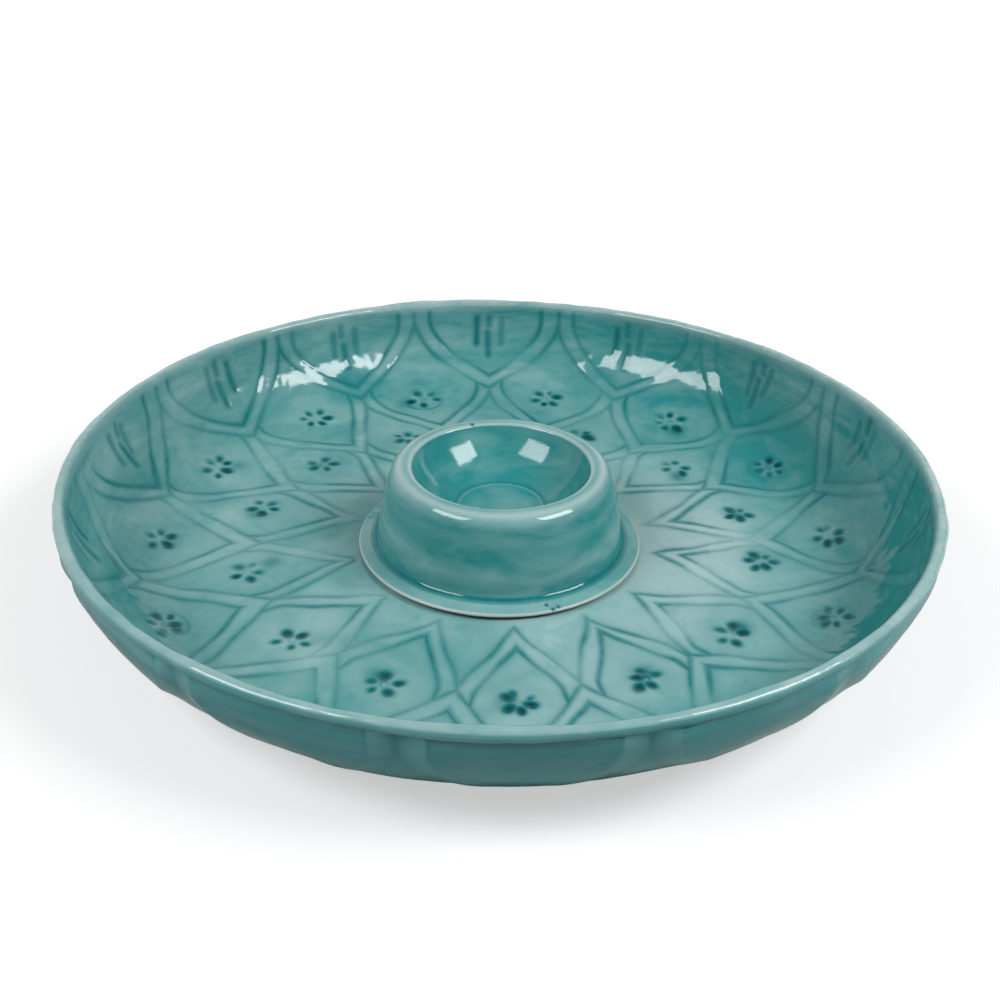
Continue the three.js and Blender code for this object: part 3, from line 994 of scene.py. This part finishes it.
@dataclass
class DipBowl:
    """The loose dip bowl: flange, skirt, round lip and well. In millimetres above the platter's floor."""

    floor_level: float = 11.5
    height: float = 39.2
    flange_diameter: float = 124.6
    flange_height: float = 3.0
    flange_thickness: float = 1.6
    flange_rise: float = 1.7
    skirt_diameter: float = 107.5
    skirt_fillet: float = 2.6
    skirt_bulge: float = 0.9
    lip_diameter: float = 82.8
    lip_round: float = 6.8
    opening_diameter: float = 76.8
    opening_drop: float = 1.5
    wall_thickness: float = 4.4
    well_level: float = 18.7
    well_floor_diameter: float = 38.6
    well_sag: float = 2.25
    contact_width: float = 5.0
    contact_bevel: float = 0.6
    pole_reach: float = 1.5
    # Levels of the milky and of the clear belt on the skirt, each with its half width.
    milky_belt: Pair = (15.0, 5.0)
    clear_belt: Pair = (26.0, 5.0)
    waves: tuple[Unevenness, ...] = (Unevenness(38.0, 0.16, 11), Unevenness(9.0, 0.02, 12))
    # Radius and angle in degrees of each small pit in the glaze.
    pits: tuple[Pair, ...] = ((58.9, -70.4), (60.8, -66.1), (61.4, -68.6), (40.0, 109.8))
    pit_reach: float = 3.0
    columns: int = 512
    # Radii below which a ring has half as many points.
    limits: tuple[float, ...] = (6.0, 13.0)

    def __post_init__(self) -> None:
        """Turn the plain form, and tell its glazed points and those within the opening."""
        path, zones = self.half_section()
        columns = [thinned(self.columns, radius, self.limits) for radius, _ in path]
        self.form = TurnedMesh(path, zones, columns)
        self.shown = self.form.zone == Zone.UPPER.value
        self.within = self.form.radius <= self.opening_diameter / 2 + 0.2

    def half_section(self) -> tuple[Points, list[Zone]]:
        """The half section from the axis in the well to the axis underneath.

        Returns:
            Radius and level per ring, and each ring's zone.
        """
        well = (self.well_floor_diameter / 2, self.well_level)
        edge = (self.opening_diameter / 2, self.height - self.opening_drop)
        lip_at = (self.lip_diameter / 2, self.height - self.lip_round)
        skirt = self.skirt_diameter / 2
        half = self.flange_thickness / 2
        brim_at = (self.flange_diameter / 2 - half, self.flange_height - half)
        fillet_at = (skirt + self.skirt_fillet, self.flange_height + self.flange_rise + self.skirt_fillet)
        rise = lip_at[1] - fillet_at[1]
        lean = math.atan2(skirt - lip_at[0] - self.lip_round, rise)
        shoulder = math.degrees(lean + math.atan2(4.0 * self.skirt_bulge, rise))
        slope = math.degrees(math.atan2(self.flange_rise, brim_at[0] - fillet_at[0]))
        lip = arc(lip_at, self.lip_round, self.lip_round, 90.0, shoulder, 40)
        chord = np.subtract(edge, well)
        steep = math.atan2(chord[1], chord[0]) + math.atan(4.0 * self.well_sag / np.hypot(*chord))
        inwards = lip_at[0] - edge[0]
        start = 180.0 - math.degrees(math.atan2(self.opening_drop, inwards * math.tan(steep)))
        mouth = arc((lip_at[0], edge[1]), inwards, self.opening_drop, start, 90.0, 30)
        top = np.concatenate([
            [[self.pole_reach, well[1]]],
            bowed(well, tuple(mouth[0]), self.well_sag),
            mouth[1:],
            lip[1:],
            bowed(tuple(lip[-1]), (skirt, fillet_at[1]), -self.skirt_bulge)[1:],
            arc(fillet_at, self.skirt_fillet, self.skirt_fillet, 180.0, 270.0 - slope, 16)[1:],
            arc(brim_at, half, half, 90.0 - slope / 2, -25.0, 16),
        ])
        contact = skirt - self.wall_thickness
        outer = contact + self.contact_width
        under = self.flange_height - self.flange_thickness
        bevel = self.contact_bevel
        bare = np.concatenate([
            arc(brim_at, half, half, -25.0, -90.0, 8)[1:],
            [[outer, under], [outer, 0.02], [outer - bevel, 0.0], [contact + bevel, 0.0], [contact, bevel]],
        ])
        hollow_top = lip_at[1] - self.wall_thickness
        hollow_side = contact - (hollow_top - fillet_at[1]) * math.tan(lean)
        well_slope = math.atan2(edge[1] - well[1], edge[0] - well[0])
        start = (well[0] + self.wall_thickness * math.tan(well_slope / 2), well[1] - self.wall_thickness)
        end = (start[0] + (hollow_top - start[1]) / math.tan(well_slope), hollow_top)
        sag = self.well_sag * ((end[0] - start[0]) / (edge[0] - well[0])) ** 2
        below = np.concatenate([
            [[contact, 1.0], [contact, fillet_at[1]], [hollow_side, hollow_top]],
            bowed(end, start, -sag),
            [[self.pole_reach, start[1]]],
        ])
        path, zones = joined([
            (evenly(top, 0.45), Zone.UPPER),
            (evenly(bare, 0.7), Zone.BARE),
            (evenly(below, 1.6), Zone.UNDER),
        ])
        return path + np.array([0.0, self.floor_level]), zones

    def build(self, glaze: Material, clay: Material) -> Object:
        """Make the dip bowl.

        Args:
            glaze: The glazed finish.
            clay: The bare clay of its foot and the flange's underside.

        Returns:
            The bowl's object.
        """
        self.form.height[self.shown] += uneven(self.form.plain[self.shown], self.waves)
        self.glaze_outside()
        self.glaze_inside()
        self.prick()
        made = self.form.build("dip_bowl_glazed", glaze, clay)
        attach(made, Body.DIP_BOWL.value)
        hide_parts("dip_bowl")
        return made

    def glaze_outside(self) -> None:
        """Let the glaze run on the lip, the skirt and the flange."""
        form, outside = self.form, self.shown & ~self.within
        up, out = form.level[outside] - self.floor_level, form.radius[outside]
        brim = self.flange_diameter / 2
        root = self.flange_height + self.flange_rise
        crown = self.lip_diameter / 2
        lip = smooth_step(self.height - 6.6, self.height - 3.4, up)
        bare_edge = smooth_step(brim - 0.9, brim - 0.35, out)
        milk = 0.2 + 0.34 * hump(up, *self.milky_belt) + 0.3 * lip
        form.milk[outside] = milk + 0.36 * smooth_step(brim - 8.0, brim - 5.0, out)
        pool = 0.6 * hump(up - root, 0.5, 1.0) * (out < brim - 5.0)
        pool += 0.07 * hump(up, *self.clear_belt) + 0.1 * hump(out, crown, 1.3) * lip
        form.pool[outside] += pool
        thin_and_sheen = 0.72 * hump(out - crown, 2.8, 1.9) * lip
        thin_and_sheen += 0.72 * hump(out - self.opening_diameter / 2, 0.9, 1.1) * lip
        form.thin_and_sheen[outside] += thin_and_sheen + bare_edge
        form.dull[outside] += 0.2 * bare_edge

    def glaze_inside(self) -> None:
        """Let the glaze run in the well and press the ring around its floor."""
        form, inside = self.form, self.shown & self.within
        floor = self.well_floor_diameter / 2
        out = form.radius[inside]
        ring = hump(out - floor, 0.4, 0.6)
        form.height[inside] -= 0.22 * ring
        form.milk[inside] = 0.08 + 0.24 * smooth_step(floor, floor - 9.0, out)
        form.pool[inside] += 0.1 + 0.4 * ring
        form.thin_and_sheen[inside] += 0.25 * hump(out - floor, -1.1, 0.7)

    def prick(self) -> None:
        """Leave a few small pits in the glaze."""
        form = self.form
        low = form.level - self.floor_level < 8.0
        for radius, degrees in self.pits:
            swing = turned_from(math.radians(degrees), form.angle) * form.radius
            away = np.hypot(swing, form.radius - radius)
            held = self.shown & (away < self.pit_reach) & (low | (radius < self.lip_diameter / 2))
            form.height[held] -= 0.35 * hump(away[held], 0.0, 0.7)
            form.pool[held] += 0.9 * hump(away[held], 0.0, 0.85)


@dataclass(frozen=True)
class SoftLight:
    """One oblong soft light: where it hangs as seen from the platter, its roll in degrees and its watts."""

    name: str
    heading: tuple[float, float, float]
    roll: float
    power: float


@dataclass
class Studio:
    """Plain white floor, two soft lights, the room's dim light and the camera. Sizes in millimetres."""

    aim_level: float = 10.0
    # The camera as the picture gives it: focal length and middle in pixels, angles in degrees.
    focal: float = 1242.0
    centre: Pair = (499.3, 543.5)
    picture: float = 1000.0
    sensor: float = 36.0
    distance: float = 556.0
    elevation: float = 31.64
    roll: float = 1.26
    light_size: Pair = (574.0, 408.0)
    light_distance: float = 1150.0
    lights: tuple[SoftLight, ...] = (
        SoftLight("soft_light_right", (0.669, -0.232, 0.708), -16.8, 8.7),
        SoftLight("soft_light_left", (-0.614, -0.347, 0.709), 12.7, 6.45),
    )
    floor_size: float = 9000.0
    floor_colour: str = "#C6C8C8"
    # Where the floor's glow sets in, and its strength there and farther out, to the eye and in reflections.
    floor_seen: tuple[Pair, Pair] = ((200.0, 1500.0), (0.52, 1.0))
    floor_mirrored: tuple[Pair, Pair] = ((180.0, 320.0), (0.0, 0.5))
    room_strength: float = 0.2
    mirrored_strength: float = 0.06
    backdrop_strength: float = 0.6
    # The mirrored backdrop's limits: parts of a direction, each from where it is gone to where it is full.
    backdrop: tuple[tuple[str, float, float], ...] = (("X", 0.8, 0.3), ("Y", -0.35, 0.35), ("Z", 0.85, 0.25))

    def build(self) -> None:
        """Set up the floor, the lights, the world and the camera."""
        bpy.context.scene.view_settings.view_transform = "Standard"
        self.lay_floor()
        self.hang_lights()
        self.fill_world()
        self.place_camera()

    def lay_floor(self) -> None:
        """Lay the floor."""
        half = self.floor_size / 2 * MM
        corners = [(-half, -half, 0.0), (half, -half, 0.0), (half, half, 0.0), (-half, half, 0.0)]
        mesh = bpy.data.meshes.new("studio_floor")
        mesh.from_pydata(corners, [], [(0, 1, 2, 3)])
        mesh.materials.append(self.paper())
        floor = bpy.data.objects.new("studio_floor", mesh)
        bpy.context.scene.collection.objects.link(floor)

    def paper(self) -> Material:
        """White background paper.

        Returns:
            Matt paper that glows up to white to the eye and in reflections, but not next to the platter,
            where its own shadow falls.
        """
        material = bpy.data.materials.new("white_background_paper")
        tree = emptied_tree(material)
        camera, mirrored = told_apart(tree)
        place = add_node(tree, "ShaderNodeTexCoord")["Object"]
        away = add_node(tree, "ShaderNodeVectorMath", {0: place}, operation="LENGTH")["Value"]
        strength = 0.0
        for seen, (fade, levels) in ((camera, self.floor_seen), (mirrored, self.floor_mirrored)):
            level = add_node(tree, "ShaderNodeMapRange", {
                "Value": away, "From Min": fade[0] * MM, "From Max": fade[1] * MM,
                "To Min": levels[0], "To Max": levels[1],
            }, interpolation_type="SMOOTHSTEP")["Result"]
            added = {0: seen, 1: level, 2: strength}
            strength = add_node(tree, "ShaderNodeMath", added, operation="MULTIPLY_ADD")[0]
        matt = add_node(tree, "ShaderNodeBsdfDiffuse", {"Color": linear(self.floor_colour), "Roughness": 0.5})
        glow = add_node(tree, "ShaderNodeEmission", {"Color": linear(WHITE), "Strength": strength})
        lit = add_node(tree, "ShaderNodeAddShader", {0: matt["BSDF"], 1: glow["Emission"]})
        add_node(tree, "ShaderNodeOutputMaterial", {"Surface": lit["Shader"]})
        return material

    def hang_lights(self) -> None:
        """Hang the soft lights, left and right, in front and above."""
        for light in self.lights:
            lamp = bpy.data.lights.new(light.name, "AREA")
            lamp.shape = "RECTANGLE"
            lamp.size, lamp.size_y = (side * MM for side in self.light_size)
            lamp.energy = light.power
            lamp.color = linear(WHITE)[:3]
            hung = bpy.data.objects.new(light.name, lamp)
            aim = Vector(light.heading).normalized()
            rolled = Quaternion((0.0, 0.0, 1.0), math.radians(light.roll))
            hung.location = aim * self.light_distance * MM + Vector((0.0, 0.0, self.aim_level * MM))
            hung.rotation_mode = "QUATERNION"
            hung.rotation_quaternion = aim.to_track_quat("Z", "Y") @ rolled
            bpy.context.scene.collection.objects.link(hung)

    def fill_world(self) -> None:
        """Fill the room with even soft light, white to the eye, and mirrored as a white backdrop behind."""
        world = bpy.data.worlds.new("studio_room")
        tree = emptied_tree(world)
        camera, mirrored = told_apart(tree)
        towards = add_node(tree, "ShaderNodeTexCoord")["Generated"]
        parts = add_node(tree, "ShaderNodeSeparateXYZ", {"Vector": towards})
        backdrop = mirrored
        for part, gone, full in self.backdrop:
            limits = {"Value": parts[part], "From Min": gone, "From Max": full}
            share = add_node(tree, "ShaderNodeMapRange", limits, interpolation_type="SMOOTHSTEP")["Result"]
            backdrop = add_node(tree, "ShaderNodeMath", {0: backdrop, 1: share}, operation="MULTIPLY")[0]
        strength = self.room_strength
        for seen, more in (
            (camera, 1.0 - self.room_strength),
            (mirrored, self.mirrored_strength - self.room_strength),
            (backdrop, self.backdrop_strength),
        ):
            added = {0: seen, 1: more, 2: strength}
            strength = add_node(tree, "ShaderNodeMath", added, operation="MULTIPLY_ADD")[0]
        room = add_node(tree, "ShaderNodeBackground", {"Color": linear(WHITE), "Strength": strength})
        add_node(tree, "ShaderNodeOutputWorld", {"Surface": room["Background"]})
        bpy.context.scene.world = world

    def place_camera(self) -> None:
        """Stand the camera where the picture was taken from."""
        tilt = math.radians(self.elevation)
        forward = Vector((0.0, math.cos(tilt), -math.sin(tilt)))
        lens = bpy.data.cameras.new("camera")
        lens.sensor_width = self.sensor
        lens.lens = self.focal / self.picture * lens.sensor_width
        lens.shift_x = 0.5 - self.centre[0] / self.picture
        lens.shift_y = self.centre[1] / self.picture - 0.5
        lens.clip_start, lens.clip_end = 0.01, 50.0
        camera = bpy.data.objects.new("camera", lens)
        turn = forward.to_track_quat("-Z", "Y").to_matrix().to_4x4()
        place = Matrix.Translation(-forward * self.distance * MM + Vector((0.0, 0.0, self.aim_level * MM)))
        camera.matrix_world = place @ turn @ Matrix.Rotation(math.radians(self.roll), 4, "Z")
        bpy.context.scene.collection.objects.link(camera)
        bpy.context.scene.camera = camera


def report(made: Object) -> None:
    """Log a finished piece."""
    LOG.info("%s: %d points, %d faces", made.name, len(made.data.vertices), len(made.data.polygons))


def main() -> None:
    """Build the pieces and the studio."""
    logging.basicConfig(level=logging.INFO, format="%(name)s %(message)s")
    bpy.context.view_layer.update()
    Studio().build()
    clay = BareStoneware().make("stoneware_bare_foot")
    platter_glaze = GlazedStoneware(46.0, 3.2, 0.36).make("stoneware_turquoise_glaze_platter")
    bowl_glaze = GlazedStoneware(36.0, 3.2, 0.15).make("stoneware_turquoise_glaze_bowl")
    report(Platter().build(platter_glaze, clay))
    report(DipBowl().build(bowl_glaze, clay))


if __name__ == "__main__":
    main()
